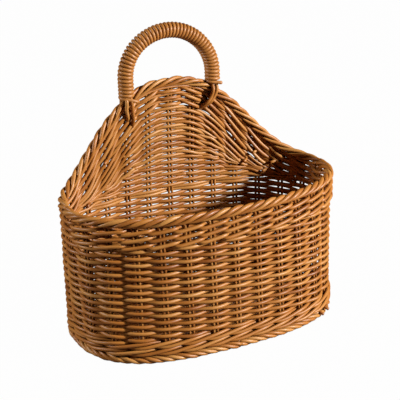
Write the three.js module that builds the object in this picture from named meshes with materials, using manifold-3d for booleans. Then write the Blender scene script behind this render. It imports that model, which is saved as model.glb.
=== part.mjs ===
// A hanging storage basket: a deep pocket woven of round rods, with a raised, humped back
// and a wrapped handle to hang it by. Millimetres, +Z up, the front towards -Y.

import * as THREE from 'three';
import { mergeVertices } from 'three/addons/utils/BufferGeometryUtils.js';
import Module from 'manifold-3d';

const wasm = await Module();
wasm.setup();

// Rods and fits
const rod = 2.9;
const rodGap = 0.25;
const twineGap = 0.3;
const twineCrossGap = 0.5;
const panelGap = 0.65;
const turnRoom = 3;
const seat = 0.3;
const stakeCount = 28;

// Plan at the foot and at the rim: half ovals whose squareness is a superellipse exponent
const footHalfWidth = 125;
const footFrontDepth = 78;
const footBackDepth = 57;
const footFrontSquareness = 2.8;
const footBackSquareness = 2.6;
const rimHalfWidth = 130;
const rimFrontDepth = 67;
const rimBackDepth = 60;
const rimFrontSquareness = 2.25;
const rimBackSquareness = 2.45;

// Rows, from the foot up
const footBorderHeight = 8.4;
const footWaleRows = 2;
const bodyRows = 27;
const rimTwineRows = 3;

// Rim and back
const borderRadius = 4.2;
const borderLobe = 0.7;
const rimTwineProud = 1.2;
const humpRise = 83.5;
const humpRunOut = 3;
const humpFullness = 1.25;

// Base
const baseLift = 2.5;
const baseThickness = 5;
const baseRibSpacing = 21;
const baseGroove = 1.9;

// Handle
const handleHalfSpan = 45;
const handleArchHeight = 43;
const handleRise = 50.45;
const handleRod = 3.9;
const handleTuck = 34;
const wrapRod = 2.4;
const wrapTurns = 46;
const wrapTail = 5;

// Heights that follow from the rows
const pitch = rod + rodGap;
const waleHeight = 2 * pitch;
const twinePitch = rod + twineGap;
const twineHeight = 2 * twinePitch;
const baseRowWidth = 2 * pitch;
const footWaleBottom = footBorderHeight + seat;
const bodyBottom = footWaleBottom + footWaleRows * waleHeight;
const bodyTop = bodyBottom + bodyRows * pitch;
const rimTwineTop = bodyTop + rimTwineRows * twineHeight;
const rimBorderHeight = rimTwineTop + seat + borderRadius;

// The hump's curve runs out just past the side stakes
const humpHalfWidth = rimHalfWidth + humpRunOut;

// The handle stands above the crest of the hump
const handleTop = rimBorderHeight + humpRise + handleRise;

// One closed outline seen from above, addressed by its share of the way round
class Plan {
    constructor(halfWidth, frontDepth, backDepth, frontSquareness, backSquareness) {
        const samples = 1440;
        this.points = [];
        this.lengths = [0];
        for (let k = 0; k <= samples; k++) {
            const angle = (k / samples) * 2 * Math.PI - Math.PI / 2;
            const front = Math.sin(angle) < 0;
            const power = 2 / (front ? frontSquareness : backSquareness);
            const depth = front ? frontDepth : backDepth;
            const x = halfWidth * Math.sign(Math.cos(angle)) * Math.abs(Math.cos(angle)) ** power;
            const y = depth * Math.sign(Math.sin(angle)) * Math.abs(Math.sin(angle)) ** power;
            this.points.push(new THREE.Vector2(x, y));
            if (k > 0) this.lengths.push(this.lengths[k - 1] + this.points[k].distanceTo(this.points[k - 1]));
        }
        this.perimeter = this.lengths[samples];
    }

    // The point at a share of the way round, from the middle of the front towards +X
    at(share) {
        const target = (share - Math.floor(share)) * this.perimeter;
        let low = 0;
        let high = this.lengths.length - 1;
        while (high - low > 1) {
            const middle = (low + high) >> 1;
            if (this.lengths[middle] > target) high = middle;
            else low = middle;
        }
        const step = (target - this.lengths[low]) / (this.lengths[high] - this.lengths[low]);
        return this.points[low].clone().lerp(this.points[high], step);
    }
}

const footPlan = new Plan(
    footHalfWidth, footFrontDepth, footBackDepth, footFrontSquareness, footBackSquareness);
const rimPlan = new Plan(
    rimHalfWidth, rimFrontDepth, rimBackDepth, rimFrontSquareness, rimBackSquareness);
const bay = (footPlan.perimeter + rimPlan.perimeter) / 2 / stakeCount;

// The line that the stakes stand on. Steps count stakes, from the middle of the front
function wallPlan(step, height) {
    const share = step / stakeCount;
    const rise = Math.min(height / rimBorderHeight, 1);
    return footPlan.at(share).lerp(rimPlan.at(share), rise);
}

// A point on the wall, or beside it by an outward distance, with the outward direction there
function wall(step, height, outward = 0) {
    const near = 0.02;
    const along = wallPlan(step + near, height).sub(wallPlan(step - near, height)).normalize();
    const out = new THREE.Vector3(along.y, -along.x, 0);
    const here = wallPlan(step, height);
    const point = new THREE.Vector3(here.x, here.y, height).addScaledVector(out, outward);
    return { point, out };
}

// A section with its corners on a circle
function roundSection(radius, sides, turn = 0) {
    return Array.from({ length: sides }, (_, k) => {
        const angle = turn + (k / sides) * 2 * Math.PI;
        return new THREE.Vector2(radius * Math.cos(angle), radius * Math.sin(angle));
    });
}

// A rod along path points { point, out }, with the section of each point drawn in the plane of
// out and of the direction square to it. Bends are mitred. A closed path has no end caps
function rodGeometry(path, sectionAt, closed = false) {
    const count = path.length;
    const sides = sectionAt(0).length;
    const positions = [];
    const direction = (from, to) => path[to].point.clone().sub(path[from].point).normalize();
    for (let k = 0; k < count; k++) {
        const { point, out } = path[k];
        const before = closed ? (k + count - 1) % count : Math.max(k - 1, 0);
        const after = closed ? (k + 1) % count : Math.min(k + 1, count - 1);
        const arriving = before === k ? direction(k, after) : direction(before, k);
        const leaving = after === k ? arriving : direction(k, after);
        const side = arriving.clone().add(leaving).cross(out).normalize();
        const bendIn = arriving.clone().addScaledVector(out, -arriving.dot(out)).normalize();
        const bendOut = leaving.clone().addScaledVector(out, -leaving.dot(out)).normalize();
        const mitre = 1 / Math.sqrt(Math.max((1 + bendIn.dot(bendOut)) / 2, 0.25));
        for (const corner of sectionAt(k)) {
            const place = point.clone()
                .addScaledVector(out, corner.x)
                .addScaledVector(side, corner.y * mitre);
            positions.push(place.x, place.y, place.z);
        }
    }
    const triangles = [];
    for (let k = 0; k < (closed ? count : count - 1); k++) {
        const ring = k * sides;
        const next = ((k + 1) % count) * sides;
        for (let j = 0; j < sides; j++) {
            const beside = (j + 1) % sides;
            triangles.push(ring + j, ring + beside, next + beside);
            triangles.push(ring + j, next + beside, next + j);
        }
    }
    if (!closed) {
        const end = (count - 1) * sides;
        for (let j = 1; j < sides - 1; j++) {
            triangles.push(0, j + 1, j);
            triangles.push(end, end + j, end + j + 1);
        }
    }
    const geometry = new THREE.BufferGeometry();
    geometry.setAttribute('position', new THREE.Float32BufferAttribute(positions, 3));
    geometry.setIndex(triangles);
    geometry.computeVertexNormals();
    return geometry;
}

// Stakes stand in pairs, side by side on the wall line
const stakeReach = pitch / 2;
const stakeFoot = footWaleBottom;

// A weaver clears the pair by a seat, with room for the chord it makes where the wall bends most
const cornerChord = 0.45;
const weaveDepth = (rod + seat + cornerChord) / (1 - (2 * stakeReach) / bay);

// Height of the hump over the level rim, at a distance from the middle
function hump(x) {
    const share = Math.min(Math.abs(x) / humpHalfWidth, 1);
    return (humpRise * (1 + Math.cos(Math.PI * share ** humpFullness))) / 2;
}

// Stakes behind the two side stakes rise into the hump
const sideStake = stakeCount / 4;
const backStake = stakeCount / 2;
function isBack(step) {
    const round = step - stakeCount * Math.floor(step / stakeCount);
    return round > sideStake && round < stakeCount - sideStake;
}

function borderHeight(step) {
    return rimBorderHeight + (isBack(step) ? hump(wallPlan(step, rimBorderHeight).x) : 0);
}

function borderSlope(step) {
    const near = 0.05;
    return (borderHeight(step + near) - borderHeight(step - near)) / (2 * near * bay);
}

// A line that runs along the border, a distance below the middle of it
function belowBorder(step, distance) {
    const slope = borderSlope(step);
    return borderHeight(step) - distance * Math.sqrt(1 + slope * slope);
}

// The top of a stake reaches the underside of the border
function stakeTop(step) {
    return belowBorder(step, borderRadius + seat) - (rod / 2) * Math.abs(borderSlope(step));
}

// A stake is one long rod bent double at the foot
function stakeGeometry(step) {
    const reach = stakeReach / bay;
    const leg = (side) => {
        const place = step + side * reach;
        const top = stakeTop(place);
        const heights = [stakeFoot + rod / 2, Math.min(top, rimBorderHeight)];
        if (top > rimBorderHeight) heights.push(top);
        return heights.map((height) => wall(place, height));
    };
    const path = [...leg(-1).reverse(), ...leg(1)];
    return rodGeometry(path, () => roundSection(rod / 2, 4));
}

// Steps of a path: its ends and each whole stake between them
function stepsBetween(start, end) {
    const steps = [start];
    for (let step = Math.floor(start) + 1; step < end; step++) steps.push(step);
    steps.push(end);
    return steps;
}

// In front of one stake, behind the next: 1 outside, -1 inside
function overUnder(step) {
    const phase = ((step % 2) + 2) % 2;
    return phase <= 1 ? 1 - 2 * phase : 2 * phase - 3;
}

// Rows lie level round the basket and climb to the next level in a few bays
const climbBays = 3;
function level(step) {
    const round = Math.floor(step / stakeCount);
    const climbed = round === 0 ? 1 : Math.min((step - round * stakeCount) / climbBays, 1);
    return round - 1 + climbed;
}

// Two weavers chase each other up the wall, a row apart and on opposite sides of each stake
const bodyClimbStake = 8;
function bodyWeaverGeometry(strand, start, end) {
    const path = stepsBetween(start, end).map((step) => {
        const height = bodyBottom + pitch * (2 * level(step) + strand + 0.5);
        const outward = weaveDepth * overUnder(step + bodyClimbStake + strand);
        return wall(step + bodyClimbStake, height, outward);
    });
    return rodGeometry(path, () => roundSection(rod / 2, 4));
}

// One of the three rods of a wale: in front of two stakes, then behind one. It comes out under
// the rod before it and goes in over the rod after it
function waleGeometry(strand, start, end, rowHeight) {
    const steps = [];
    for (const step of stepsBetween(start, end)) {
        const before = steps[steps.length - 1];
        const phase = (((Math.floor(step) + strand) % 3) + 3) % 3;
        if (before !== undefined && phase !== 1 && step - before === 1) steps.push(step - 0.5);
        steps.push(step);
    }
    const places = [
        { outward: weaveDepth, lift: -pitch / 2 },
        { outward: weaveDepth, lift: pitch / 2 },
        { outward: -weaveDepth, lift: 0 },
    ];
    const crossing = { 1: pitch / 2, 2: -pitch / 2 };
    const path = steps.map((step) => {
        const stake = Math.floor(step);
        const phase = (((stake + strand) % 3) + 3) % 3;
        const here = places[phase];
        const next = places[(phase + 1) % 3];
        const part = step - stake;
        let { outward, lift } = here;
        if (part > 0 && phase in crossing) {
            const toward = part <= 0.5 ? here : next;
            const share = Math.abs(part - 0.5) * 2;
            outward = toward.outward * share;
            lift = THREE.MathUtils.lerp(crossing[phase], toward.lift, share);
        } else if (part > 0) {
            lift = THREE.MathUtils.lerp(here.lift, next.lift, part);
        }
        return wall(step, rowHeight(step) + lift, outward);
    });
    return rodGeometry(path, () => roundSection(rod / 2, 4));
}

// One of the two rods of a twine under the border: in front of one stake, then behind the next.
// Between the stakes it crosses over the other rod on its way in, and under it on its way out
function twineGeometry(strand, start, end, distance) {
    const path = stepsBetween(2 * start, 2 * end).map((half) => {
        const step = half / 2;
        const turn = Math.PI * (step + strand);
        const side = Math.cos(turn);
        const proud = side > 0 && !isBack(step) ? rimTwineProud : 0;
        const height = belowBorder(step, distance - (Math.sin(turn) * (rod + twineCrossGap)) / 2);
        return wall(step, height, side * (weaveDepth + proud));
    });
    return rodGeometry(path, () => roundSection(rod / 2, 4));
}

// Rows of the back panel fan out. Each turns back round the last stake that has room for it, and
// the rows in the lower middle turn back first
const panelStakes = backStake - sideStake - 1;
const panelPitch = rod + panelGap;

// The steepest that the rows beside a stake run
function panelSlope(step) {
    return Math.max(Math.abs(borderSlope(step - 0.5)), Math.abs(borderSlope(step + 0.5)));
}

// Room for panel rows between the level rows and the twine
function panelRoom(step) {
    return belowBorder(step, borderRadius + seat + rimTwineRows * twineHeight) - bodyTop;
}

function panelPairs() {
    const pairs = [];
    for (let out = panelStakes; out >= 0; out--) {
        const step = backStake + out;
        const slope = panelSlope(step);
        const lean = slope / Math.asinh(slope);
        const room = panelRoom(step);
        const beyond = out === panelStakes ? 0 : pairs[out + 1];
        pairs[out] = beyond;
        while (2 * (pairs[out] + 1) * panelPitch * lean + (pairs[out] + 1 - beyond) * turnRoom <= room) {
            pairs[out] += 1;
        }
    }
    return pairs;
}

const pairsAt = panelPairs();
const panelRows = 2 * pairsAt[0];

// How many stakes out from the middle a pair of rows reaches
function pairReach(pair, pairCount) {
    const fold = 0.3;
    const standing = (k) => {
        const share = k / (pairCount - 1);
        return share < fold ? 1 - share / fold : (share - fold) / (1 - fold);
    };
    const rank = Array.from({ length: pairCount }, (_, k) => k)
        .sort((a, b) => standing(b) - standing(a) || a - b)
        .indexOf(pair);
    let reach = 0;
    while (reach < panelStakes && pairsAt[reach + 1] > rank) reach += 1;
    return reach;
}

// Rows turn in pairs: 0 with 1 on the right, 1 with 2 on the left, and so on up
function rowReach(row, side) {
    const pairCount = panelRows / 2;
    const pair = side > 0 ? Math.floor(row / 2) : Math.min(Math.floor((row + 1) / 2), pairCount - 1);
    return pairReach(pair, pairCount);
}

// Height of a panel row at a stake: the rows that reach it share the room under the border
function panelHeight(row, out) {
    const side = out < 0 ? -1 : 1;
    const distance = Math.abs(out);
    const step = backStake - out;
    const present = [];
    for (let k = 0; k < panelRows; k++) if (rowReach(k, side) >= distance) present.push(k);
    const spreads = present.map((k) => {
        const last = rowReach(k, side) === distance && distance < panelStakes;
        return last ? turnRoom / 2 : 0;
    });
    const slope = panelSlope(step);
    const room = panelRoom(step);
    const spread = spreads.reduce((sum, value) => sum + value, 0);
    const each = (room - spread) / present.length;
    const index = present.indexOf(row);
    const under = spreads.slice(0, index).reduce((sum, value) => sum + value, spreads[index] / 2);
    const share = (index + 0.5) / present.length;
    const bend = Math.sinh(share * Math.asinh(slope)) / slope;
    return bodyTop + rod / 2 + bend * each * present.length + under;
}

// A weaver that runs to and fro over some rows of the back panel
function panelWeaverGeometry(firstRow, lastRow) {
    const turnReach = (stakeReach + rod + seat) / bay;
    const path = [];
    const place = (out, height, outward) => path.push(wall(backStake - out, height, outward));
    const sideOf = (row, out) => overUnder(out + row) * weaveDepth;
    for (let row = firstRow; row <= lastRow; row++) {
        const heading = row % 2 === 0 ? 1 : -1;
        const from = -heading * rowReach(row, -heading);
        const to = heading * rowReach(row, heading);
        for (let out = from; out * heading <= to * heading; out += heading) {
            place(out, panelHeight(row, out), sideOf(row, out));
        }
        if (row === lastRow) break;
        const here = panelHeight(row, to);
        const above = panelHeight(row + 1, to);
        const turn = to + heading * turnReach;
        place(turn, THREE.MathUtils.lerp(here, above, 0.1), sideOf(row, to) * 0.3);
        place(turn, THREE.MathUtils.lerp(here, above, 0.6), sideOf(row + 1, to) * 0.8);
    }
    return rodGeometry(path, () => roundSection(rod / 2, 4));
}

// A rolled border is a thick twist: three lobes that turn by one corner every half bay
function borderSection(radius, ring) {
    const section = roundSection(radius, 6, (ring * Math.PI) / 3);
    section.forEach((corner, k) => {
        if (k % 2 === 1) corner.multiplyScalar(1 - borderLobe / radius);
    });
    return section;
}

function frontBorderGeometry() {
    const end = sideStake - seat / 2 / bay;
    const path = [];
    const rings = 4 * sideStake;
    for (let k = 0; k <= rings; k++) {
        const step = -end + (k / rings) * 2 * end;
        path.push(wall(step, rimBorderHeight, rimTwineProud));
    }
    return rodGeometry(path, (k) => borderSection(borderRadius, k));
}

function backBorderGeometry() {
    const start = sideStake + seat / 2 / bay;
    const end = stakeCount - start;
    const path = [];
    const rings = 4 * (backStake - sideStake);
    for (let k = 0; k <= rings; k++) {
        const step = start + (k / rings) * (end - start);
        path.push(wall(step, borderHeight(step), 0));
    }
    return rodGeometry(path, (k) => borderSection(borderRadius, k));
}

// The foot border stands on its flat underside
const footBorderProud = 1;
function footBorderGeometry() {
    const radius = footBorderHeight / 2;
    const rings = 2 * stakeCount;
    const path = [];
    for (let k = 0; k < rings; k++) path.push(wall(k / 2, radius, footBorderProud));
    const flat = radius * 0.45;
    const section = (k) => {
        const bulge = k % 2 === 1 ? radius : radius - borderLobe;
        return [
            new THREE.Vector2(bulge, 0),
            new THREE.Vector2(flat, radius),
            new THREE.Vector2(-flat, radius),
            new THREE.Vector2(-bulge, 0),
            new THREE.Vector2(-flat, -radius),
            new THREE.Vector2(flat, -radius),
        ];
    };
    return rodGeometry(path, section, true);
}

// A three.js geometry as a solid, and back
function toSolid(geometry) {
    const bare = geometry.clone();
    for (const name of Object.keys(bare.attributes)) if (name !== 'position') bare.deleteAttribute(name);
    const merged = mergeVertices(bare);
    return new wasm.Manifold(new wasm.Mesh({
        numProp: 3,
        vertProperties: merged.attributes.position.array,
        triVerts: new Uint32Array(merged.index.array),
    }));
}

function toGeometry(solid) {
    const mesh = solid.getMesh();
    const geometry = new THREE.BufferGeometry();
    geometry.setAttribute('position', new THREE.BufferAttribute(mesh.vertProperties, mesh.numProp));
    geometry.setIndex(new THREE.BufferAttribute(mesh.triVerts, 1));
    geometry.computeVertexNormals();
    return geometry;
}

// A woven sheet: rows of paired rods that pass over one cross rib and under the next. A row stands
// high where it passes over a rib, and its neighbours stand low there
function wovenSheet(ribs, rows) {
    const positions = [];
    for (let row = 0; row <= rows; row++) {
        for (let rib = 0; rib <= ribs; rib++) {
            const x = (rib - ribs / 2) * baseRibSpacing;
            const y = row * baseRowWidth - footFrontDepth;
            const high = (row + rib) % 2 === 0;
            positions.push(x, y, baseLift + baseThickness - (high ? 0 : baseGroove));
            positions.push(x, y, baseLift + (high ? baseGroove : 0));
        }
    }
    const above = (rib, row) => 2 * (row * (ribs + 1) + rib);
    const below = (rib, row) => above(rib, row) + 1;
    const triangles = [];
    const quad = (a, b, c, d) => triangles.push(a, b, c, a, c, d);
    for (let row = 0; row < rows; row++) {
        for (let rib = 0; rib < ribs; rib++) {
            quad(above(rib, row), above(rib + 1, row), above(rib + 1, row + 1), above(rib, row + 1));
            quad(below(rib, row), below(rib, row + 1), below(rib + 1, row + 1), below(rib + 1, row));
        }
        quad(below(0, row + 1), below(0, row), above(0, row), above(0, row + 1));
        quad(below(ribs, row), below(ribs, row + 1), above(ribs, row + 1), above(ribs, row));
    }
    for (let rib = 0; rib < ribs; rib++) {
        quad(below(rib, 0), below(rib + 1, 0), above(rib + 1, 0), above(rib, 0));
        quad(below(rib + 1, rows), below(rib, rows), above(rib, rows), above(rib + 1, rows));
    }
    const geometry = new THREE.BufferGeometry();
    geometry.setAttribute('position', new THREE.Float32BufferAttribute(positions, 3));
    geometry.setIndex(triangles);
    return geometry;
}

// The base mat is cut to the inside of the foot
function baseGeometry() {
    const inset = footBorderProud - footBorderHeight / 2 - 2 * seat;
    const outline = new THREE.Shape();
    for (let k = 0; k < 2 * stakeCount; k++) {
        const { point } = wall(k / 2, 0, inset);
        if (k === 0) outline.moveTo(point.x, point.y);
        else outline.lineTo(point.x, point.y);
    }
    const blank = new THREE.ExtrudeGeometry(outline, { depth: baseThickness, bevelEnabled: false });
    blank.translate(0, 0, baseLift);
    const ribs = Math.ceil((2 * footHalfWidth) / baseRibSpacing);
    const rows = Math.ceil((footFrontDepth + footBackDepth) / baseRowWidth);
    return toGeometry(toSolid(blank).intersect(toSolid(wovenSheet(ribs, rows))));
}

// The step on the back of the rim that lies a distance to the right of the middle
function backStepAt(x) {
    let near = sideStake;
    let far = backStake;
    while (far - near > 1e-4) {
        const middle = (near + far) / 2;
        if (wallPlan(middle, rimBorderHeight).x > x) near = middle;
        else far = middle;
    }
    return far;
}

// The handle stands astride the back border
const handleStep = backStepAt(handleHalfSpan);
const handlePlane = wallPlan(handleStep, rimBorderHeight).y;
const handleBorder = borderHeight(handleStep);
const handleBorderLean = Math.sqrt(1 + borderSlope(handleStep) ** 2);
const rodSpacing = handleRod + rodGap;
const astride = borderRadius + seat + handleRod / 2;
const legRise = handleBorderLean * Math.sqrt(astride ** 2 - (rodSpacing / 2) ** 2);
const handleFoot = handleBorder + legRise;
const archSpring = handleTop - handleArchHeight;
const legLength = archSpring - handleFoot;

// The handle's middle line by distance from its left foot: a leg, half an oval and a leg
const archPlan = new Plan(handleHalfSpan, handleArchHeight, handleArchHeight, 2, 2);
const archLength = archPlan.perimeter / 2;
const handleLength = archLength + 2 * legLength;
function handleLine(distance) {
    const pastArch = distance - legLength - archLength;
    if (distance <= legLength) return { x: -handleHalfSpan, z: handleFoot + distance, lean: 0 };
    if (pastArch >= 0) return { x: handleHalfSpan, z: archSpring - pastArch, lean: Math.PI };
    const share = 0.75 - (distance - legLength) / archPlan.perimeter;
    const near = 0.002;
    const here = archPlan.at(share);
    const along = archPlan.at(share - near).sub(archPlan.at(share + near));
    return { x: here.x, z: archSpring + here.y, lean: Math.PI / 2 - Math.atan2(along.y, along.x) };
}

// A point beside the middle line: outward across the arch, and behind its plane
function besideHandle(distance, across, behind) {
    const { x, z, lean } = handleLine(distance);
    const side = new THREE.Vector3(-Math.cos(lean), 0, Math.sin(lean));
    return new THREE.Vector3(x, handlePlane + behind, z).addScaledVector(side, across);
}

// Four rods fill the handle. Two come down in front of the back border and two behind it, and
// lie against the woven panel below
function handleRodGeometry(across, behind) {
    const out = new THREE.Vector3(0, Math.sign(behind), 0);
    const path = [];
    const lie = weaveDepth + rod / 2 + seat + handleRod / 2;
    const footPath = (end) => [
        [lie, handleBorder - handleTuck],
        [lie, handleBorder - astride],
        [astride, handleBorder + 0.2 * legRise],
        [0.75 * astride, handleBorder + 0.72 * legRise],
    ].map(([depth, height]) => {
        const side = end === 0 ? -across : across;
        const x = (end === 0 ? -handleHalfSpan : handleHalfSpan) + side;
        return { point: new THREE.Vector3(x, handlePlane + out.y * depth, height), out };
    });
    path.push(...footPath(0));
    const steps = 16;
    for (let k = 0; k <= steps; k++) {
        const distance = k === 0 || k === steps
            ? (k / steps) * handleLength
            : legLength + ((k - 1) / (steps - 2)) * archLength;
        path.push({ point: besideHandle(distance, across, behind), out });
    }
    path.push(...footPath(1).reverse());
    return rodGeometry(path, () => roundSection(handleRod / 2, 4, Math.PI / 4));
}

// The wrap: one unbroken rod wound round the four, with a straight tail at each end
const bundleRadius = rodSpacing / Math.SQRT2 + handleRod / 2;
const wrapRadius = bundleRadius + seat + wrapRod / 2;
const curlSteps = 8;
function wrapPath() {
    const first = wrapRod / 2;
    const last = handleLength - wrapRod / 2;
    const count = wrapTurns * curlSteps;
    const place = (k) => {
        const angle = (k / curlSteps) * 2 * Math.PI;
        const distance = THREE.MathUtils.lerp(first, last, k / count);
        const centre = besideHandle(distance, 0, 0);
        const point = besideHandle(distance, wrapRadius * Math.cos(angle), wrapRadius * Math.sin(angle));
        return { point, out: point.clone().sub(centre).normalize() };
    };
    const path = Array.from({ length: count + 1 }, (_, k) => place(k));
    const tail = (end, inner) => {
        const away = end.point.clone().sub(inner.point);
        away.addScaledVector(end.out, -away.dot(end.out)).setLength(wrapTail);
        return { point: end.point.clone().add(away), out: end.out };
    };
    return [tail(path[0], path[1]), ...path, tail(path[count], path[count - 1])];
}

// The least gap between turns, measured between points of the wrap over half a turn apart
function leastGap(path, diameter) {
    let least = Infinity;
    for (let a = 0; a < path.length; a++) {
        for (let b = a + curlSteps / 2; b < Math.min(a + 2 * curlSteps, path.length); b++) {
            least = Math.min(least, path[a].point.distanceTo(path[b].point) - diameter);
        }
    }
    return least;
}

function wrapGeometry() {
    const path = wrapPath();
    console.log(`least gap between turns of the wrap: ${leastGap(path, wrapRod).toFixed(2)} mm`);
    return rodGeometry(path, () => roundSection(wrapRod / 2, 5));
}

const basket = new THREE.Group();

const cane = (colour) => new THREE.MeshStandardMaterial({ color: colour, roughness: 0.5, metalness: 0 });
function add(name, geometry, material) {
    const mesh = new THREE.Mesh(geometry, material);
    mesh.name = name;
    basket.add(mesh);
}

const stakeCane = cane(0x9a5f2c);
const weaverCane = cane(0xb87a3d);
const waleCane = cane(0xb0713a);
const borderCane = cane(0xa86a35);

for (let k = 0; k < stakeCount; k++) {
    add(`stake_${String(k + 1).padStart(2, '0')}`, stakeGeometry(k), stakeCane);
}

const joinRound = 7;
const joint = 0.05;
for (const strand of [0, 1]) {
    const rounds = Math.ceil((bodyRows - strand) / 2);
    const join = joinRound * stakeCount + 1 + strand;
    add(`body_weaver_${2 * strand + 1}`, bodyWeaverGeometry(strand, climbBays, join - joint), weaverCane);
    add(`body_weaver_${2 * strand + 2}`, bodyWeaverGeometry(strand, join, rounds * stakeCount), weaverCane);
}

const footClimbStake = 18;
for (let strand = 0; strand < 3; strand++) {
    const first = footClimbStake + climbBays;
    const last = footClimbStake + footWaleRows * stakeCount;
    const rowHeight = (step) => footWaleBottom + pitch + waleHeight * level(step - footClimbStake);
    add(`foot_wale_${strand + 1}`, waleGeometry(strand, first, last, rowHeight), waleCane);
}

const twineJoinStake = 20;
for (let row = 0; row < rimTwineRows; row++) {
    const distance = borderRadius + seat + twinePitch + twineHeight * (rimTwineRows - 1 - row);
    for (const strand of [0, 1]) {
        const start = twineJoinStake + joint;
        const geometry = twineGeometry(strand + row, start, start + stakeCount - 2 * joint, distance);
        add(`rim_twine_${row + 1}${'ab'[strand]}`, geometry, waleCane);
    }
}

const panelWeavers = 7;
for (let k = 0; k < panelWeavers; k++) {
    const first = Math.round((k * panelRows) / panelWeavers);
    const last = Math.round(((k + 1) * panelRows) / panelWeavers) - 1;
    add(`back_weaver_${k + 1}`, panelWeaverGeometry(first, last), weaverCane);
}

add('foot_border', footBorderGeometry(), borderCane);
add('front_border', frontBorderGeometry(), borderCane);
add('back_border', backBorderGeometry(), borderCane);
add('base_mat', baseGeometry(), weaverCane);

const half = rodSpacing / 2;
add('handle_rod_1', handleRodGeometry(half, -half), stakeCane);
add('handle_rod_2', handleRodGeometry(-half, -half), stakeCane);
add('handle_rod_3', handleRodGeometry(half, half), stakeCane);
add('handle_rod_4', handleRodGeometry(-half, half), stakeCane);
add('handle_wrap', wrapGeometry(), borderCane);

const extent = new THREE.Box3().setFromObject(basket);
basket.position.y = -(extent.min.y + extent.max.y) / 2;

export default basket;
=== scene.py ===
import math

import bpy
import numpy as np
from mathutils import Matrix, Vector

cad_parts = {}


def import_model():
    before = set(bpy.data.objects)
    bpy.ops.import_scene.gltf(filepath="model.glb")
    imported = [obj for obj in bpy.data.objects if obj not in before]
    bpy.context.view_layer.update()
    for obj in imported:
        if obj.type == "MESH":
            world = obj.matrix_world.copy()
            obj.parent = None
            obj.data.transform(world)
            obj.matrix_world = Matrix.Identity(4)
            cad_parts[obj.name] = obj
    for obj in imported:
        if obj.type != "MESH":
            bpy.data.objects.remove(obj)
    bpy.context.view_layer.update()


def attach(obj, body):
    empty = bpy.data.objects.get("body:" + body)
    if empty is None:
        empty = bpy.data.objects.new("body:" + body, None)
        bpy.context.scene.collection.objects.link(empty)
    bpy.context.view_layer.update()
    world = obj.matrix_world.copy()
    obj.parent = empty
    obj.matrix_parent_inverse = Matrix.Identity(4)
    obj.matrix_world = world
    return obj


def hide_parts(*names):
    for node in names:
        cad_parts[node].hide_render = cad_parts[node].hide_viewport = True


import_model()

RANDOM = np.random.default_rng(11)

# Lengths below are in millimetres in the source's own frame. The meshes are built in metres in the
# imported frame, which has its middle further forward
METRE = 0.001
BACKWARD_SHIFT = 7.682

# Rods, and how far they pass in and out. The weavers are fuller than in the source, and the stakes thinner
ROD = 3.3
STAKE_ROD = 2.45
STUB_ROD = 0.92 * ROD
WEAVE = 2.3
FRONT_WEAVE = 1.12
WALE = 3.0
NESTLE = 0.2
TWINE_PROUD = 1.9

# Rows, heights and the hump, as in the source
PITCH = 3.15
TWINE_PITCH = 3.2
SEAT = 0.3
STAKES = 28
FOOT_BORDER_HEIGHT = 8.4
FOOT_WALE_ROWS = 2
BODY_ROWS = 27
TWINE_ROWS = 3
BORDER_RADIUS = 4.2
HUMP_RISE = 83.5
HUMP_HALF_WIDTH = 133.0
HUMP_FULLNESS = 1.25
FOOT_WALE_BOTTOM = FOOT_BORDER_HEIGHT + SEAT
BODY_BOTTOM = FOOT_WALE_BOTTOM + FOOT_WALE_ROWS * 2 * PITCH
BODY_TOP = BODY_BOTTOM + BODY_ROWS * PITCH
RIM_BORDER = BODY_TOP + TWINE_ROWS * 2 * TWINE_PITCH + SEAT + BORDER_RADIUS
SIDE_STAKE = STAKES // 4
BACK_STAKE = STAKES // 2
BODY_CLIMB_STAKE = 8
FOOT_CLIMB_STAKE = 18
CLIMB_BAYS = 3
BASE_RIB = 21.0
BASE_ROW = 2 * PITCH
BASE_GROOVE = 1.9

# The handle's sizes
HANDLE_HALF_SPAN = 45.0
HANDLE_ARCH = 43.0
HANDLE_TOP = 264.0
HANDLE_LEAN = 3.0
LEG_START = 7.4
CORE_ROD = 3.9
CORE_GAP = 0.25
WRAP_ROD = 3.5
WRAP_OUTER = 7.55
WRAP_TURNS = 48


class Plan:
    """An oval seen from above, addressed by the share of the way round it from the middle of the front."""

    def __init__(self, half_width, front_depth, back_depth, front_square, back_square):
        angle = np.linspace(-math.pi / 2, 1.5 * math.pi, 2881)
        c, s = np.cos(angle), np.sin(angle)
        power = 2 / np.where(s < 0, front_square, back_square)
        depth = np.where(s < 0, front_depth, back_depth)
        self.x = half_width * np.sign(c) * np.abs(c) ** power
        self.y = depth * np.sign(s) * np.abs(s) ** power
        steps = np.hypot(np.diff(self.x), np.diff(self.y))
        self.length = np.concatenate([[0], np.cumsum(steps)])

    def at(self, share):
        target = np.mod(share, 1.0) * self.length[-1]
        return np.interp(target, self.length, self.x), np.interp(target, self.length, self.y)


FOOT_FRONT_SQUARE, FOOT_BACK_SQUARE = 2.8, 2.6
FOOT_PLAN = Plan(half_width=125, front_depth=78, back_depth=57,
                 front_square=FOOT_FRONT_SQUARE, back_square=FOOT_BACK_SQUARE)
RIM_PLAN = Plan(half_width=130, front_depth=67, back_depth=60, front_square=2.25, back_square=2.45)
BAY = (FOOT_PLAN.length[-1] + RIM_PLAN.length[-1]) / 2 / STAKES


def plan_point(step, height):
    """Where the wall stands at a height. A step is one bay between stakes, from the middle of the front."""
    rise = np.clip(height / RIM_BORDER, 0, 1)
    foot_x, foot_y = FOOT_PLAN.at(step / STAKES)
    rim_x, rim_y = RIM_PLAN.at(step / STAKES)
    return foot_x + (rim_x - foot_x) * rise, foot_y + (rim_y - foot_y) * rise


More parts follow.
